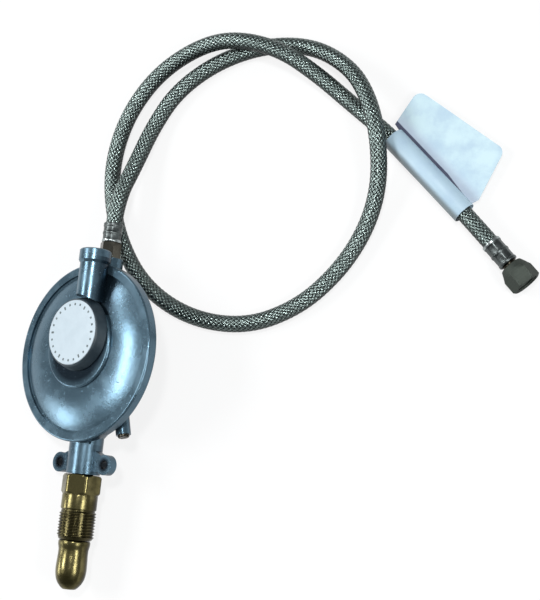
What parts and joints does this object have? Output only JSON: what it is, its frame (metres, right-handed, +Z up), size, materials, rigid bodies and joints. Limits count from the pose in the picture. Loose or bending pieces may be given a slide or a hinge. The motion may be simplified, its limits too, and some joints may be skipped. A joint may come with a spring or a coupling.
{
  "type": "propane regulator hose",
  "caption": "Low pressure gas regulator with a bottle nut and a braided hose that lies in a loop and ends in a swivel nut.",
  "frame": {"origin": "under the middle of the regulator's box, on the floor; the hose and what is on it don't count", "axes": "+Y along the gas passage from bottle to hose, +Z up, +X towards the hose's far end"},
  "size_m": [0.3236, 0.3611, 0.0523],
  "materials": {
    "cast_paint": "die cast, metallic blue grey paint",
    "cap_plastic": "dark grey moulding",
    "label": "plain white label",
    "screw_metal": "machined",
    "steel": "zinc plated",
    "plate": "pressed sheet",
    "rubber": "black nitrile",
    "brass": "machined, slightly dull",
    "inner_brass": "machined",
    "bronze": "sintered",
    "crimp": "crimped sleeve",
    "braid": "rubber tube under a braid of fine steel wire",
    "dark_nut": "dark plated steel",
    "film": "pale film, pressed round the hose",
    "mesh": "perforated disc"
  },
  "bodies": {
    "regulator": {"lower_body": "cast_paint", "cover": "cast_paint", "vent_screen": "mesh", "test_plug": "inner_brass", "lever_pin": "steel", "inlet_seat": "inner_brass", "inlet_filter": "bronze", "pol_nipple": "brass", "outlet_nipple": "brass", "near_ferrule": "crimp", "hose": "braid", "far_ferrule": "crimp", "far_tail": "inner_brass", "tag": "film", "diaphragm": "rubber", "main_spring": "steel"},
    "bottle_nut": {"pol_nut": "brass"},
    "far_nut": {"swivel_nut": "dark_nut"},
    "cap": {"tower_cap": "cap_plastic", "label_disc": "label"},
    "seat": {"spring_seat": "steel"},
    "screw": {"adjusting_screw": "screw_metal"},
    "diaphragm_centre": {"diaphragm_plate": "plate", "diaphragm_stem": "inner_brass"},
    "lever_arm": {"lever": "steel"},
    "valve": {"valve_plunger": "inner_brass", "valve_pad": "rubber"}
  },
  "joints": [
    {"name": "bottle_nut_spin", "type": "hinge", "parent": "regulator", "child": "bottle_nut", "pos_m": [0.00396, -0.0523, 0.0175], "axis": [0, -1, 0], "continuous": true},
    {"name": "far_nut_spin", "type": "hinge", "parent": "regulator", "child": "far_nut", "pos_m": [0.25992, 0.09554, 0.0085], "axis": [0.6862, -0.7274, 0], "continuous": true},
    {"name": "cap_pull", "type": "slide", "parent": "regulator", "child": "cap", "axis": [-0.4169, 0, 0.909], "range_m": [0, 0.012]},
    {"name": "seat_slide", "type": "slide", "parent": "regulator", "child": "seat", "axis": [-0.4169, 0, 0.909], "range_m": [-0.00225, 0.00063], "deforming": ["main_spring"]},
    {"name": "screw_turn", "type": "hinge", "parent": "seat", "child": "screw", "pos_m": [-0.00479, 0.0289, 0.03659], "axis": [-0.4169, 0, 0.909], "range_deg": [-600, 180]},
    {"name": "diaphragm_stroke", "type": "slide", "parent": "regulator", "child": "diaphragm_centre", "axis": [-0.4169, 0, 0.909], "range_m": [-0.0015, 0.0022], "stiffness_N_per_m": 3000, "deforming": ["main_spring", "diaphragm"]},
    {"name": "lever_swing", "type": "hinge", "parent": "regulator", "child": "lever_arm", "pos_m": [0.00667, 0.0144, 0.01159], "axis": [0.909, 0, 0.4169], "range_deg": [-6.8, 9.9]},
    {"name": "valve_slide", "type": "slide", "parent": "regulator", "child": "valve", "axis": [0, -1, 0], "range_m": [-0.00075, 0.0011]}
  ],
  "couplings": [
    {"joint": "screw_turn", "follows": "seat_slide", "rad_per_m": 4188.8},
    {"joint": "lever_swing", "follows": "diaphragm_stroke", "rad_per_m": 68.966},
    {"joint": "valve_slide", "follows": "diaphragm_stroke", "ratio": 0.44828}
  ]
}
